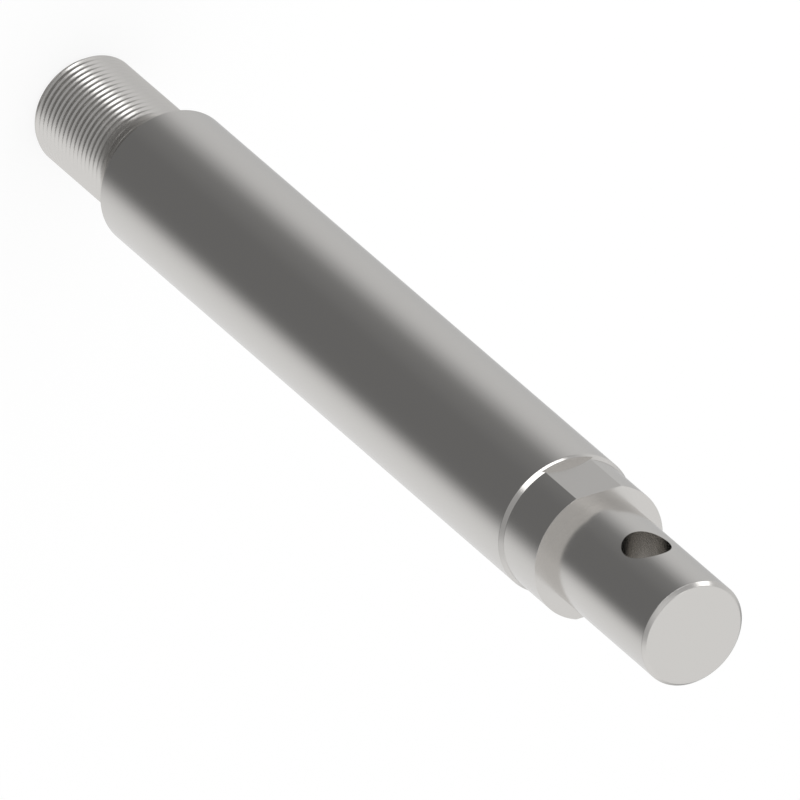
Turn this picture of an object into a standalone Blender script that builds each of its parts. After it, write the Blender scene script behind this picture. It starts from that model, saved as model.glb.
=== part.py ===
"""Piston rod of a hydraulic cylinder: one turned and milled piece of steel.

It stands on its threaded end, with its axis on Z. From the bottom up it has a threaded stub
for the piston with a relief groove, the ground rod, a short neck with two wrench flats, and
a journal with a cross hole for the pin. The flats and the hole both face along Y.
Lengths are in metres.
"""
import math

import bmesh
import bpy
from mathutils import Matrix, Vector

# Lengths along the axis
THREAD_LENGTH = 0.0430
ROD_LENGTH = 0.2060
NECK_LENGTH = 0.0170
JOURNAL_LENGTH = 0.0480

# Diameters
THREAD_DIAMETER = 0.0320
ROD_DIAMETER = 0.0400
JOURNAL_DIAMETER = 0.0300
HOLE_DIAMETER = 0.0130

# Threaded stub: lead-in chamfer at the free end, relief groove at the shoulder
THREAD_CHAMFER = 0.00125
RELIEF_WIDTH = 0.0030
RELIEF_DEPTH = 0.0015
RELIEF_FILLET = 0.0008

# Metric thread, right-handed: its depth and the width of its root are shares of the pitch
THREAD_PITCH = 0.0020
THREAD_FLANK_ANGLE = math.radians(30.0)
THREAD_DEPTH_SHARE = 0.5413
THREAD_ROOT_SHARE = 0.25

# Ground rod: broken edge at the piston's shoulder
SHOULDER_BREAK = 0.0003

# Neck: it stands below the rod's surface by one step, down a chamfer of 30 degrees
NECK_STEP = 0.0008
NECK_CHAMFER_ANGLE = math.radians(30.0)

# Wrench flats: a depth of 1.2 mm on the neck leaves 36 mm across the flats
FLAT_DEPTH = 0.0012
FLAT_SETBACK = 0.0007

# Journal: chamfer at its free end, and the cross hole half way along
JOURNAL_CHAMFER = 0.0010
HOLE_PLACE_SHARE = 0.5

# Every tool runs this far past the surface that it makes
CUT_OVERRUN = 0.0010

# Facets
ROD_SEGMENTS = 80
THREAD_SEGMENTS = 40
HOLE_SEGMENTS = 48
FILLET_STEPS = 4
MERGE_DISTANCE = 0.000001
SMOOTH_ANGLE = math.radians(30.0)

# Satin chromed steel
STEEL_COLOUR = (0.62, 0.61, 0.59, 1.0)
STEEL_ROUGHNESS = 0.2

# Stations along the axis and radii that follow from the sizes above
PISTON_SHOULDER = THREAD_LENGTH
ROD_FRONT = PISTON_SHOULDER + ROD_LENGTH
JOURNAL_SHOULDER = ROD_FRONT + NECK_LENGTH
JOURNAL_END = JOURNAL_SHOULDER + JOURNAL_LENGTH
THREAD_RADIUS = THREAD_DIAMETER / 2
RELIEF_RADIUS = THREAD_RADIUS - RELIEF_DEPTH
ROD_RADIUS = ROD_DIAMETER / 2
NECK_RADIUS = ROD_RADIUS - NECK_STEP
JOURNAL_RADIUS = JOURNAL_DIAMETER / 2


def clear_scene():
    """Remove every object, so that the model stands alone."""
    for thing in list(bpy.data.objects):
        bpy.data.objects.remove(thing, do_unlink=True)


def steel():
    """The rod's one material."""
    material = bpy.data.materials.new("satin_steel")
    material.use_nodes = True
    shader = material.node_tree.nodes["Principled BSDF"]
    shader.inputs["Base Color"].default_value = STEEL_COLOUR
    shader.inputs["Metallic"].default_value = 1.0
    shader.inputs["Roughness"].default_value = STEEL_ROUGHNESS
    return material


def add_object(name, mesh_data):
    """Turn a bmesh into a scene object with outward faces."""
    bmesh.ops.recalc_face_normals(mesh_data, faces=mesh_data.faces)
    mesh = bpy.data.meshes.new(name)
    mesh_data.to_mesh(mesh)
    mesh_data.free()
    thing = bpy.data.objects.new(name, mesh)
    bpy.context.scene.collection.objects.link(thing)
    return thing


def relief_outline():
    """The outline from inside the stub, along the relief groove's floor to the shoulder."""
    points = [(0.0, THREAD_LENGTH / 2), (RELIEF_RADIUS, THREAD_LENGTH / 2)]
    # A fillet joins the groove's floor to the shoulder, where the load passes
    for step in range(FILLET_STEPS + 1):
        turn = math.pi / 2 * step / FILLET_STEPS
        radius = RELIEF_RADIUS + RELIEF_FILLET * (1 - math.cos(turn))
        height = PISTON_SHOULDER - RELIEF_FILLET * (1 - math.sin(turn))
        points.append((radius, height))
    return points


def rod_outline():
    """The rod's outline, from its broken edge to the end of the neck's chamfer."""
    chamfer_length = NECK_STEP / math.tan(NECK_CHAMFER_ANGLE)
    return [
        (ROD_RADIUS - SHOULDER_BREAK, PISTON_SHOULDER),
        (ROD_RADIUS, PISTON_SHOULDER + SHOULDER_BREAK),
        (ROD_RADIUS, ROD_FRONT),
        (NECK_RADIUS, ROD_FRONT + chamfer_length),
    ]


def journal_outline():
    """The journal's outline, from the neck's front edge to the middle of its end face."""
    return [
        (NECK_RADIUS, JOURNAL_SHOULDER),
        (JOURNAL_RADIUS, JOURNAL_SHOULDER),
        (JOURNAL_RADIUS, JOURNAL_END - JOURNAL_CHAMFER),
        (JOURNAL_RADIUS - JOURNAL_CHAMFER, JOURNAL_END),
        (0.0, JOURNAL_END),
    ]


def turned(outline):
    """Spin an outline of radii and heights about the axis, as on a lathe."""
    solid = bmesh.new()
    points = [solid.verts.new((radius, 0.0, height)) for radius, height in outline]
    edges = [solid.edges.new(pair) for pair in zip(points, points[1:])]
    bmesh.ops.spin(
        solid,
        geom=points + edges,
        cent=Vector((0.0, 0.0, 0.0)),
        axis=Vector((0.0, 0.0, 1.0)),
        angle=math.tau,
        steps=ROD_SEGMENTS,
        use_duplicate=False,
    )
    bmesh.ops.remove_doubles(solid, verts=solid.verts, dist=MERGE_DISTANCE)
    return solid


def combine(target, tool, operation):
    """Join the tool to the target or take it out, and keep the tool as a hidden guide."""
    tool.hide_render = True
    tool.display_type = "WIRE"
    modifier = target.modifiers.new(tool.name, "BOOLEAN")
    modifier.operation = operation
    modifier.solver = "EXACT"
    modifier.object = tool


def flat_cutter(name, side):
    """The slab that mills one wrench flat; side is 1 or -1 along Y."""
    flat_start = ROD_FRONT + FLAT_SETBACK
    low = Vector((-ROD_RADIUS - CUT_OVERRUN, NECK_RADIUS - FLAT_DEPTH, flat_start))
    high = Vector((ROD_RADIUS + CUT_OVERRUN, ROD_RADIUS + CUT_OVERRUN, JOURNAL_SHOULDER + CUT_OVERRUN))
    size = high - low
    middle = (low + high) / 2
    middle.y *= side
    slab = bmesh.new()
    place = Matrix.Translation(middle) @ Matrix.Diagonal((*size, 1.0))
    bmesh.ops.create_cube(slab, size=1.0, matrix=place)
    return add_object(name, slab)


def hole_cutter(name):
    """The drill for the cross hole, through the journal along Y."""
    height = JOURNAL_SHOULDER + JOURNAL_LENGTH * HOLE_PLACE_SHARE
    place = Matrix.Translation((0.0, 0.0, height)) @ Matrix.Rotation(math.pi / 2, 4, "X")
    drill = bmesh.new()
    bmesh.ops.create_cone(
        drill,
        cap_ends=True,
        segments=HOLE_SEGMENTS,
        radius1=HOLE_DIAMETER / 2,
        radius2=HOLE_DIAMETER / 2,
        depth=JOURNAL_DIAMETER + 2 * CUT_OVERRUN,
        matrix=place,
    )
    return add_object(name, drill)


def threaded_bar(name):
    """An endless thread, longer than the stub: one pitch of its form, spun on a helix."""
    root = THREAD_RADIUS - THREAD_PITCH * THREAD_DEPTH_SHARE
    root_half = THREAD_PITCH * THREAD_ROOT_SHARE / 2
    flank = (THREAD_RADIUS - root) * math.tan(THREAD_FLANK_ANGLE)
    form = [
        (root, -root_half),
        (root, root_half),
        (THREAD_RADIUS, root_half + flank),
        (THREAD_RADIUS, THREAD_PITCH - root_half - flank),
        (root, THREAD_PITCH - root_half),
    ]
    rise = THREAD_PITCH / THREAD_SEGMENTS
    steps = math.ceil((THREAD_LENGTH + 2 * THREAD_PITCH) / rise)
    bar = bmesh.new()
    points = [bar.verts.new((radius, 0.0, height - 2 * THREAD_PITCH)) for radius, height in form]
    edges = [bar.edges.new(pair) for pair in zip(points, points[1:])]
    bmesh.ops.spin(
        bar,
        geom=points + edges,
        cent=Vector((0.0, 0.0, 0.0)),
        axis=Vector((0.0, 0.0, 1.0)),
        dvec=Vector((0.0, 0.0, rise)),
        angle=math.tau * steps / THREAD_SEGMENTS,
        steps=steps,
        use_duplicate=False,
    )
    bmesh.ops.remove_doubles(bar, verts=bar.verts, dist=MERGE_DISTANCE)
    bmesh.ops.holes_fill(bar, edges=[edge for edge in bar.edges if edge.is_boundary], sides=0)
    return add_object(name, bar)


def stub_envelope(name):
    """What the lathe leaves of the bar: a flat end, a lead-in chamfer and the groove's slope."""
    outer = THREAD_RADIUS + CUT_OVERRUN
    groove_start = PISTON_SHOULDER - RELIEF_WIDTH
    outline = [
        (0.0, 0.0),
        (THREAD_RADIUS - THREAD_CHAMFER, 0.0),
        (outer, THREAD_CHAMFER + CUT_OVERRUN),
        (outer, groove_start - RELIEF_DEPTH - CUT_OVERRUN),
        (RELIEF_RADIUS - CUT_OVERRUN, groove_start + CUT_OVERRUN),
        (0.0, groove_start + CUT_OVERRUN),
    ]
    return add_object(name, turned(outline))


def piston_rod():
    """Turn the rod, join the threaded stub, mill the two flats and drill the cross hole."""
    rod = add_object("piston_rod", turned(relief_outline() + rod_outline() + journal_outline()))
    rod.data.materials.append(steel())
    rod.data.shade_smooth()
    rod.data.set_sharp_from_angle(angle=SMOOTH_ANGLE)
    stub = threaded_bar("threaded_stub")
    combine(stub, stub_envelope("stub_envelope"), "INTERSECT")
    combine(rod, stub, "UNION")
    combine(rod, flat_cutter("front_flat_cutter", -1), "DIFFERENCE")
    combine(rod, flat_cutter("back_flat_cutter", 1), "DIFFERENCE")
    combine(rod, hole_cutter("cross_hole_cutter"), "DIFFERENCE")
    return rod


clear_scene()
piston_rod()
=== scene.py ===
"""Looks of the piston rod: the turned, milled and threaded steel piece in a white studio.

The rod stands on its threaded end, axis on Z. Its two wrench flats and its cross hole
face along Y. Lengths are in metres.
"""
import math

import bmesh
import bpy
from mathutils import Matrix, Vector


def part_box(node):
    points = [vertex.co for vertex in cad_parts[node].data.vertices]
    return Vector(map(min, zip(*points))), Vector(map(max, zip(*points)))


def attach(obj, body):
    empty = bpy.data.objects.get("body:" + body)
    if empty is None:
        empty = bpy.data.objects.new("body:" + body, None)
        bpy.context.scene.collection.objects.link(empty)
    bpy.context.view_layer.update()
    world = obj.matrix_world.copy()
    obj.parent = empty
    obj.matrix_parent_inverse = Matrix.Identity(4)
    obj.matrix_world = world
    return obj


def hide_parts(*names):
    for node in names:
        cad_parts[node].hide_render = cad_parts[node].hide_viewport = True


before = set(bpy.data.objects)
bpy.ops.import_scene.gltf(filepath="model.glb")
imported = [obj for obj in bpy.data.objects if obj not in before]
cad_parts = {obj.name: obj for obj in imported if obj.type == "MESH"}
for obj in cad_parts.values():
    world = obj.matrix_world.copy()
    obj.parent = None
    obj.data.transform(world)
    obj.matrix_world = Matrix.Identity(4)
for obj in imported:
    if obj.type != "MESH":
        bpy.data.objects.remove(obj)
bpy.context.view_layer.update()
rod_low, rod_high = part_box("piston_rod")

# Lengths along the axis, with the journal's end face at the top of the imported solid
THREAD_LENGTH = 0.0430
ROD_LENGTH = 0.2060
NECK_LENGTH = 0.0170
THREADED_END = rod_low[2]
PISTON_SHOULDER = THREADED_END + THREAD_LENGTH
ROD_FRONT = PISTON_SHOULDER + ROD_LENGTH
JOURNAL_SHOULDER = ROD_FRONT + NECK_LENGTH
JOURNAL_END = rod_high[2]

# Radii
THREAD_RADIUS = 0.0160
RELIEF_RADIUS = 0.0145
ROD_RADIUS = 0.0200
NECK_RADIUS = 0.0192
JOURNAL_RADIUS = 0.0150
HOLE_RADIUS = 0.0065

# Chamfers, the relief groove and the flats
THREAD_CHAMFER = 0.00125
RELIEF_WIDTH = 0.0030
RELIEF_FILLET = 0.0008
SHOULDER_BREAK = 0.0003
NECK_CHAMFER_LENGTH = 0.001386
JOURNAL_CHAMFER = 0.0010
FLAT_DISTANCE = 0.0180
FLAT_SETBACK = 0.0007
FLAT_START = ROD_FRONT + FLAT_SETBACK
HOLE_HEIGHT = (JOURNAL_SHOULDER + JOURNAL_END) / 2

# Tiny rounds that a turning tool leaves on the edges, and the fine surface's divisions
EDGE_ROUND = 0.00012
SHARP = 0.0
ROUND_STEPS = 3
TURNED_VERTICES = 192
HOLE_VERTICES = 128

# How far the mill and the drill run past the surface that they cut
CUT_OVERRUN = 0.0010

# Points nearer than this become one, and flatter edges than this are shaded smooth
SAME_PLACE = 0.000001
SMOOTH_ANGLE = math.radians(24.0)

# M32 x 2 thread, right-handed, with 60 degrees between its flanks
THREAD_PITCH = 0.0020
THREAD_DEPTH_SHARE = 0.5413
THREAD_ROOT_SHARE = 0.25
THREAD_FLANK_ANGLE = math.radians(30.0)
THREAD_STEPS = 96
THREAD_TOOL_OVERRUN = 0.0001
ROOT_ROUND = 0.00016
ROOT_ROUND_SEGMENTS = 2

# Colour and finish of the steel; noise scales are in features per metre
STEEL_COLOUR = (0.63, 0.616, 0.597, 1.0)
STEEL_METALLIC = 1.0
STEEL_ROUGHNESS = 0.17
FEED_SCALE = 9000.0
FEED_DETAIL = 3.0
FEED_ROUGHNESS = 0.03
HAZE_SCALE = 60.0
HAZE_DETAIL = 2.0
HAZE_ROUGHNESS = 0.03
FEED_BUMP_STRENGTH = 0.02
FEED_BUMP_HEIGHT = 0.00001

# Camera: the photograph's parallel view from 48 degrees above, through a very long lens
TOWARD_CAMERA = Vector((0.4364, -0.5039, 0.7455))
CAMERA_RIGHT = Vector((-0.8660, 0.0, 0.5))
LENS = 1700.0
SENSOR = 36.0
FRAME_WIDTH = 0.20744
FRAME_HEIGHT_ON_AXIS = 0.16941
FRAME_OFF_AXIS = -0.00376
CLIP_END = 100.0

# Level directions: toward the camera's side, and across its view
LEVEL_TOWARD = Vector((TOWARD_CAMERA.x, TOWARD_CAMERA.y, 0.0)).normalized()
LEVEL_ACROSS = LEVEL_TOWARD.cross(Vector((0.0, 0.0, 1.0)))

# Grey levels that the steel sees around it: degrees off the camera's side, then the level.
# From the photograph's side, its upright faces reflect the walls, its chamfers and thread the
# ceiling, and its end face and shoulder the cove. The horizon, with its dark screens, shows
# in the upright faces from lower sides. A ramp has the camera's side in its middle
HALF_TURN = 180.0
RAMP_MIDDLE = 0.5
WALL_STOPS = [
    (-180.0, 0.86), (-147.0, 0.88), (-120.0, 0.91), (-100.0, 0.89), (-88.0, 0.83),
    (-78.0, 0.69), (-69.0, 0.47), (-61.0, 0.295), (-53.0, 0.20), (-45.0, 0.19),
    (15.0, 0.192), (30.0, 0.22), (45.0, 0.24), (55.0, 0.28), (64.0, 0.40), (73.0, 0.51),
    (83.0, 0.64), (93.0, 0.70), (105.0, 0.71), (120.0, 0.69), (134.0, 0.64),
    (160.0, 0.58), (180.0, 0.86),
]
HORIZON_STOPS = [
    (-180.0, 0.26), (-160.0, 0.50), (-135.0, 0.96), (-105.0, 0.92), (-80.0, 0.60),
    (-62.0, 0.28), (-45.0, 0.18), (25.0, 0.18), (50.0, 0.24), (75.0, 0.50), (95.0, 0.84),
    (120.0, 0.92), (145.0, 0.76), (165.0, 0.36), (180.0, 0.26),
]
CEILING_STOPS = [
    (-180.0, 0.96), (-120.0, 1.00), (-95.0, 0.98), (-80.0, 0.90), (-70.0, 0.62),
    (-60.0, 0.48), (-45.0, 0.43), (-25.0, 0.45), (0.0, 0.47), (25.0, 0.45), (50.0, 0.46),
    (70.0, 0.54), (90.0, 0.70), (110.0, 0.72), (135.0, 0.80), (180.0, 0.96),
]
COVE_STOPS = [
    (-180.0, 0.96), (-110.0, 1.00), (-80.0, 1.06), (0.0, 1.04), (60.0, 1.00), (85.0, 0.90),
    (105.0, 0.74), (125.0, 0.78), (150.0, 0.90), (180.0, 0.96),
]

# The sines of the heights above level where one of them passes into the next; the cove, a
# bright band, runs round the room half way up its ceiling
WALL_TO_HORIZON = (-0.56, -0.44)
HORIZON_TO_CEILING = (-0.12, 0.06)
CEILING_TO_COVE = (0.63, 0.71)
COVE_TO_CEILING = (0.77, 0.86)

# Soft lamps that face the rod: degrees off the camera's side, degrees above level, width,
# height and radiance
SOFTBOXES = {
    "edge_softbox": (31.0, 8.0, 2.6, 0.5, 2.2),
    "thread_softbox": (66.0, 62.5, 0.5, 0.5, 2.6),
    "side_softbox": (87.0, 24.0, 0.8, 0.35, 1.9),
}
LAMP_DISTANCE = 2.0
LAMP_AIM = Vector((0.0, 0.0, 0.25))

# Floor: white paper that glows a little to the camera, as an overexposed backdrop does
FLOOR_SIZE = 12.0
FLOOR_GREY = 0.95
FLOOR_GLOW = 1.05
FLOOR_GLOW_SHARE = 0.8
WHITE = (1.0, 1.0, 1.0, 1.0)


def deselect_all():
    """Leave nothing selected, in object mode."""
    if bpy.context.object and bpy.context.object.mode != "OBJECT":
        bpy.ops.object.mode_set(mode="OBJECT")
    bpy.ops.object.select_all(action="DESELECT")


def make_active(piece):
    """Select one piece and make it the active one."""
    deselect_all()
    piece.select_set(True)
    bpy.context.view_layer.objects.active = piece


def apply_modifiers(piece):
    """Apply every modifier of the piece, in order."""
    make_active(piece)
    for name in [modifier.name for modifier in piece.modifiers]:
        bpy.ops.object.modifier_apply(modifier=name)


def settle(piece):
    """Put the piece's place into its mesh, so that the object sits at the origin."""
    make_active(piece)
    bpy.ops.object.transform_apply(location=True, rotation=True, scale=True)


def outline():
    """Corners of the turned profile from the bottom up: radius, height, and the edge's round."""
    groove_start = PISTON_SHOULDER - RELIEF_WIDTH
    groove_depth = THREAD_RADIUS - RELIEF_RADIUS
    return [
        (THREAD_RADIUS - THREAD_CHAMFER, THREADED_END, EDGE_ROUND),
        (THREAD_RADIUS, THREADED_END + THREAD_CHAMFER, SHARP),
        (THREAD_RADIUS, groove_start - groove_depth, SHARP),
        (RELIEF_RADIUS, groove_start, RELIEF_FILLET),
        (RELIEF_RADIUS, PISTON_SHOULDER, RELIEF_FILLET),
        (ROD_RADIUS - SHOULDER_BREAK, PISTON_SHOULDER, SHARP),
        (ROD_RADIUS, PISTON_SHOULDER + SHOULDER_BREAK, SHARP),
        (ROD_RADIUS, ROD_FRONT, EDGE_ROUND),
        (NECK_RADIUS, ROD_FRONT + NECK_CHAMFER_LENGTH, EDGE_ROUND),
        (NECK_RADIUS, JOURNAL_SHOULDER, EDGE_ROUND),
        (JOURNAL_RADIUS, JOURNAL_SHOULDER, SHARP),
        (JOURNAL_RADIUS, JOURNAL_END - JOURNAL_CHAMFER, EDGE_ROUND),
        (JOURNAL_RADIUS - JOURNAL_CHAMFER, JOURNAL_END, EDGE_ROUND),
    ]


def rounded(corners):
    """Replace each corner by a short curve that is tangent to both of its sides."""
    first = Vector((0.0, corners[0][1]))
    last = Vector((0.0, corners[-1][1]))
    line = [first, *[Vector(corner[:2]) for corner in corners], last]
    points = []
    for index, (*_, edge_round) in enumerate(corners, start=1):
        corner = line[index]
        if edge_round == SHARP:
            points.append(corner)
            continue
        start = corner + (line[index - 1] - corner).normalized() * edge_round
        end = corner + (line[index + 1] - corner).normalized() * edge_round
        for step in range(ROUND_STEPS + 1):
            share = step / ROUND_STEPS
            before = start.lerp(corner, share)
            after = corner.lerp(end, share)
            points.append(before.lerp(after, share))
    return points


def turned_rod():
    """Start with a disc and extrude it up the profile, one ring at a time, as on a lathe."""
    rings = rounded(outline())
    radius, height = rings[0]
    deselect_all()
    bpy.ops.mesh.primitive_circle_add(
        vertices=TURNED_VERTICES, radius=radius, fill_type="NGON", location=(0.0, 0.0, height)
    )
    piece = bpy.context.object
    piece.name = "turned_piston_rod"
    settle(piece)
    bpy.ops.object.mode_set(mode="EDIT")
    bpy.ops.mesh.select_all(action="SELECT")
    for ring in rings[1:]:
        rise = ring.y - height
        bpy.ops.mesh.extrude_region_move(TRANSFORM_OT_translate={"value": (0.0, 0.0, rise)})
        share = ring.x / radius
        bpy.ops.transform.resize(value=(share, share, 1.0), center_override=(0.0, 0.0, ring.y))
        radius, height = ring
    bpy.ops.mesh.select_all(action="SELECT")
    bpy.ops.mesh.normals_make_consistent(inside=False)
    bpy.ops.object.mode_set(mode="OBJECT")
    return piece


def cut(target, cutter):
    """Take the cutter out of the target and delete the cutter."""
    modifier = target.modifiers.new("cut", "BOOLEAN")
    modifier.operation = "DIFFERENCE"
    modifier.solver = "EXACT"
    modifier.object = cutter
    apply_modifiers(target)
    bpy.data.objects.remove(cutter, do_unlink=True)


def flat_slab(side):
    """The slab that mills one wrench flat; side is 1 or -1 along Y."""
    reach = ROD_RADIUS + CUT_OVERRUN
    low = Vector((-reach, FLAT_DISTANCE, FLAT_START))
    high = Vector((reach, reach, JOURNAL_SHOULDER + CUT_OVERRUN))
    middle = (low + high) / 2
    deselect_all()
    bpy.ops.mesh.primitive_cube_add(
        size=1.0, location=(0.0, side * middle.y, middle.z), scale=high - low
    )
    slab = bpy.context.object
    settle(slab)
    return slab


def pin_drill():
    """The drill for the cross hole, along Y."""
    deselect_all()
    bpy.ops.mesh.primitive_cylinder_add(
        vertices=HOLE_VERTICES,
        radius=HOLE_RADIUS,
        depth=2 * (JOURNAL_RADIUS + CUT_OVERRUN),
        location=(0.0, 0.0, HOLE_HEIGHT),
        rotation=(math.pi / 2, 0.0, 0.0),
    )
    drill = bpy.context.object
    settle(drill)
    return drill


def thread_form():
    """The V that cuts the thread: its tip's and back's radii, and its widths there."""
    tip = THREAD_RADIUS - THREAD_PITCH * THREAD_DEPTH_SHARE
    back = THREAD_RADIUS + THREAD_TOOL_OVERRUN
    tip_width = THREAD_PITCH * THREAD_ROOT_SHARE
    back_width = tip_width + 2 * (back - tip) * math.tan(THREAD_FLANK_ANGLE)
    return tip, back, tip_width, back_width


def thread_tool():
    """A small plane shaped to the thread's V, then swept up the helix by Screw."""
    tip, back, tip_width, back_width = thread_form()
    middle = (tip + back) / 2
    # The sweep ends inside the relief groove, after whole turns that start below the stub
    end = PISTON_SHOULDER - RELIEF_FILLET - back_width / 2
    turns = math.ceil((end + back_width / 2 - THREADED_END) / THREAD_PITCH)
    deselect_all()
    bpy.ops.mesh.primitive_plane_add(size=1.0, rotation=(math.pi / 2, 0.0, 0.0))
    tool = bpy.context.object
    tool.scale = (back - tip, back_width, 1.0)
    tool.location = (middle, 0.0, end - turns * THREAD_PITCH)
    settle(tool)
    bpy.ops.object.mode_set(mode="EDIT")
    shape = bmesh.from_edit_mesh(tool.data)
    for corner in shape.verts:
        corner.select = corner.co.x < middle
    shape.select_flush_mode()
    bmesh.update_edit_mesh(tool.data)
    bpy.ops.transform.resize(value=(1.0, 1.0, tip_width / back_width))
    bpy.ops.mesh.bevel(offset=ROOT_ROUND, segments=ROOT_ROUND_SEGMENTS, affect="VERTICES")
    bpy.ops.mesh.select_all(action="SELECT")
    bpy.ops.mesh.delete(type="ONLY_FACE")
    bpy.ops.object.mode_set(mode="OBJECT")
    sweep = tool.modifiers.new("sweep", "SCREW")
    sweep.axis = "Z"
    sweep.screw_offset = THREAD_PITCH
    sweep.iterations = turns
    sweep.steps = THREAD_STEPS
    sweep.render_steps = THREAD_STEPS
    apply_modifiers(tool)
    bpy.ops.object.mode_set(mode="EDIT")
    bpy.ops.mesh.select_all(action="DESELECT")
    bpy.ops.mesh.select_non_manifold()
    bpy.ops.mesh.fill()
    bpy.ops.mesh.select_all(action="SELECT")
    bpy.ops.mesh.normals_make_consistent(inside=False)
    bpy.ops.object.mode_set(mode="OBJECT")
    return tool


def finished_rod():
    """Turn, mill, drill and thread the rod, then smooth its round faces."""
    piece = turned_rod()
    cut(piece, flat_slab(-1))
    cut(piece, flat_slab(1))
    cut(piece, pin_drill())
    cut(piece, thread_tool())
    make_active(piece)
    bpy.ops.object.mode_set(mode="EDIT")
    bpy.ops.mesh.select_all(action="SELECT")
    bpy.ops.mesh.remove_doubles(threshold=SAME_PLACE)
    bpy.ops.object.mode_set(mode="OBJECT")
    bpy.ops.object.shade_smooth_by_angle(angle=SMOOTH_ANGLE)
    weighted = piece.modifiers.new("flat faces stay flat", "WEIGHTED_NORMAL")
    weighted.keep_sharp = True
    apply_modifiers(piece)
    return piece


class Wire:
    """One output in a node tree; sums, products and powers of wires add Math nodes."""

    def __init__(self, tree, socket):
        self.tree = tree
        self.socket = socket

    def math(self, operation, *others):
        """Add one Math node that takes this wire first."""
        node = self.tree.nodes.new("ShaderNodeMath")
        node.operation = operation
        for place, value in enumerate((self, *others)):
            connect(self.tree, value, node.inputs[place])
        return Wire(self.tree, node.outputs[0])

    def other(self, name):
        """Another output of the same node."""
        return Wire(self.tree, self.socket.node.outputs[name])

    def __add__(self, other):
        return self.math("ADD", other)

    __radd__ = __add__

    def __mul__(self, other):
        return self.math("MULTIPLY", other)

    __rmul__ = __mul__

    def __rsub__(self, other):
        return self.math("MULTIPLY", -1.0).math("ADD", other)

    def __truediv__(self, other):
        return self.math("DIVIDE", other)

    def __pow__(self, other):
        return self.math("POWER", other)


class Board:
    """A node tree with one method that adds any node."""

    def __init__(self, tree):
        self.tree = tree

    def add(self, kind, settings=None, output=0, **inputs):
        """Add a node, set its settings, then give its inputs values or wires."""
        node = self.tree.nodes.new(kind)
        for name, value in (settings or {}).items():
            if name == "stops":
                fill_ramp(node.color_ramp, value)
            else:
                setattr(node, name, value)
        for name, value in inputs.items():
            connect(self.tree, value, node.inputs[name.replace("_", " ")])
        return Wire(self.tree, node.outputs[output])


def connect(tree, value, socket):
    """Link a wire to a socket, or set the socket to a plain value."""
    if isinstance(value, Wire):
        tree.links.new(value.socket, socket)
    else:
        socket.default_value = value


def fill_ramp(ramp, stops):
    """Set a colour ramp's stops, given as degrees from -180 to 180 and grey levels."""
    while len(ramp.elements) > 1:
        ramp.elements.remove(ramp.elements[-1])
    for index, (angle, level) in enumerate(stops):
        place = (angle + HALF_TURN) / (2 * HALF_TURN)
        element = ramp.elements[0] if index == 0 else ramp.elements.new(place)
        element.position = place
        element.color = (level, level, level, 1.0)


def satin_steel():
    """Ground and polished steel: faint rings from the lathe and grinder, and a soft haze."""
    material = bpy.data.materials.new("satin_steel")
    material.use_nodes = True
    board = Board(material.node_tree)
    shader = material.node_tree.nodes["Principled BSDF"]
    place = board.add("ShaderNodeTexCoord", output="Object")
    across = board.add("ShaderNodeSeparateXYZ", Vector=place)
    depth = across.other("Y")
    radius = (across * across + depth * depth) ** 0.5
    feed = board.add(
        "ShaderNodeTexNoise",
        {"noise_dimensions": "1D"},
        W=across.other("Z") + radius,
        Scale=FEED_SCALE,
        Detail=FEED_DETAIL,
    )
    haze = board.add("ShaderNodeTexNoise", Vector=place, Scale=HAZE_SCALE, Detail=HAZE_DETAIL)
    rough = haze * HAZE_ROUGHNESS + feed * FEED_ROUGHNESS + STEEL_ROUGHNESS
    bump = board.add(
        "ShaderNodeBump", Height=feed, Strength=FEED_BUMP_STRENGTH, Distance=FEED_BUMP_HEIGHT
    )
    connect(board.tree, STEEL_COLOUR, shader.inputs["Base Color"])
    connect(board.tree, STEEL_METALLIC, shader.inputs["Metallic"])
    connect(board.tree, rough, shader.inputs["Roughness"])
    connect(board.tree, bump, shader.inputs["Normal"])
    return material


def share_along(board, direction, side):
    """How far a direction points to one side, from -1 to 1."""
    product = board.add("ShaderNodeVectorMath", {"operation": "DOT_PRODUCT"}, output="Value")
    along, toward = product.socket.node.inputs[:2]
    connect(board.tree, direction, along)
    connect(board.tree, side, toward)
    return product


def step_up(board, height, limits):
    """A smooth step from 0 to 1 as the height passes from one limit to the other."""
    low, high = limits
    settings = {"interpolation_type": "SMOOTHSTEP"}
    return board.add("ShaderNodeMapRange", settings, Value=height, From_Min=low, From_Max=high)


def studio_world():
    """White to the camera; to the steel, a pale room with a dark screen below the camera."""
    world = bpy.data.worlds.new("studio")
    bpy.context.scene.world = world
    world.use_nodes = True
    world.node_tree.nodes.clear()
    board = Board(world.node_tree)
    direction = board.add("ShaderNodeTexCoord", output="Generated")
    toward = share_along(board, direction, LEVEL_TOWARD)
    across = share_along(board, direction, LEVEL_ACROSS)
    turn = across.math("ARCTAN2", toward) / math.tau + RAMP_MIDDLE
    height = board.add("ShaderNodeSeparateXYZ", output="Z", Vector=direction)
    level = board.add("ShaderNodeValToRGB", {"stops": WALL_STOPS}, Fac=turn)
    for limits, stops in (
        (WALL_TO_HORIZON, HORIZON_STOPS),
        (HORIZON_TO_CEILING, CEILING_STOPS),
        (CEILING_TO_COVE, COVE_STOPS),
        (COVE_TO_CEILING, CEILING_STOPS),
    ):
        above = step_up(board, height, limits)
        band = board.add("ShaderNodeValToRGB", {"stops": stops}, Fac=turn)
        level = level * (1.0 - above) + band * above
    seen = board.add("ShaderNodeLightPath", output="Is Camera Ray")
    strength = level * (1.0 - seen) + seen
    background = board.add("ShaderNodeBackground", Color=WHITE, Strength=strength)
    output = board.tree.nodes.new("ShaderNodeOutputWorld")
    connect(board.tree, background, output.inputs["Surface"])


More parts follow.
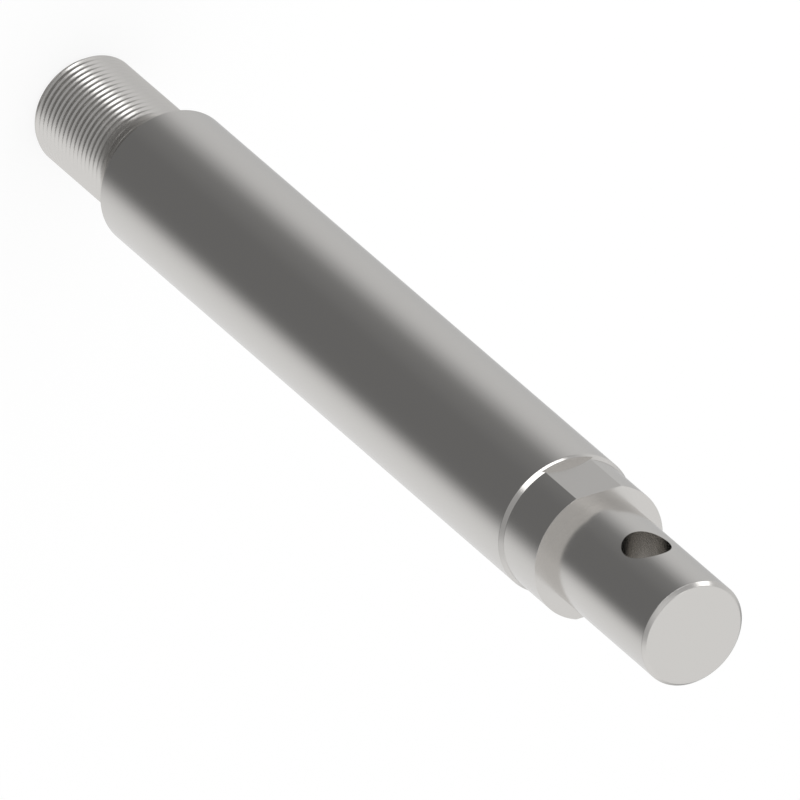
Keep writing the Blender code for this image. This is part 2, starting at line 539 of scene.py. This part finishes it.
def softbox(name, azimuth, elevation, width, height, level):
    """A soft lamp that faces the rod."""
    around = math.radians(azimuth)
    above = math.radians(elevation)
    level_side = LEVEL_TOWARD * math.cos(around) + LEVEL_ACROSS * math.sin(around)
    side = level_side * math.cos(above) + Vector((0.0, 0.0, math.sin(above)))
    lamp = bpy.data.lights.new(name, "AREA")
    lamp.shape = "RECTANGLE"
    lamp.size = width
    lamp.size_y = height
    lamp.energy = level * math.pi * width * height
    stand = bpy.data.objects.new(name, lamp)
    stand.location = LAMP_AIM + side * LAMP_DISTANCE
    stand.rotation_euler = (-side).to_track_quat("-Z", "Y").to_euler()
    bpy.context.scene.collection.objects.link(stand)


def studio_floor():
    """A pale floor: white to the camera with the rod's shadow on it, unseen in the steel."""
    deselect_all()
    bpy.ops.mesh.primitive_plane_add(size=FLOOR_SIZE, location=(0.0, 0.0, 0.0))
    floor = bpy.context.object
    floor.name = "studio_floor"
    floor.visible_glossy = False
    material = bpy.data.materials.new("pale_floor")
    material.use_nodes = True
    material.node_tree.nodes.clear()
    board = Board(material.node_tree)
    paper_colour = (FLOOR_GREY, FLOOR_GREY, FLOOR_GREY, 1.0)
    paper = board.add("ShaderNodeBsdfDiffuse", Color=paper_colour)
    glow = board.add("ShaderNodeEmission", Color=WHITE, Strength=FLOOR_GLOW)
    seen = board.add("ShaderNodeLightPath", output="Is Camera Ray")
    mix = board.add("ShaderNodeMixShader", Fac=seen * FLOOR_GLOW_SHARE)
    under, over = mix.socket.node.inputs[1:3]
    connect(board.tree, paper, under)
    connect(board.tree, glow, over)
    output = board.tree.nodes.new("ShaderNodeOutputMaterial")
    connect(board.tree, mix, output.inputs["Surface"])
    floor.data.materials.append(material)


def camera():
    """Look at the rod from the photograph's side, framed as the photograph frames it."""
    back = TOWARD_CAMERA.normalized()
    right = (CAMERA_RIGHT - back * CAMERA_RIGHT.dot(back)).normalized()
    up = back.cross(right)
    data = bpy.data.cameras.new("camera")
    data.lens = LENS
    data.sensor_width = SENSOR
    data.clip_end = CLIP_END
    stand = bpy.data.objects.new("camera", data)
    bpy.context.scene.collection.objects.link(stand)
    target = Vector((0.0, 0.0, FRAME_HEIGHT_ON_AXIS)) + LEVEL_ACROSS * FRAME_OFF_AXIS
    distance = FRAME_WIDTH * LENS / SENSOR
    turn = Matrix((right, up, back)).transposed().to_4x4()
    stand.matrix_world = Matrix.Translation(target + back * distance) @ turn
    bpy.context.scene.camera = stand


rod = finished_rod()
rod.data.materials.clear()
rod.data.materials.append(satin_steel())
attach(rod, "root")
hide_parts("piston_rod")

studio_world()
studio_floor()
for lamp_name, lamp_values in SOFTBOXES.items():
    softbox(lamp_name, *lamp_values)
camera()
bpy.context.scene.view_settings.view_transform = "Standard"
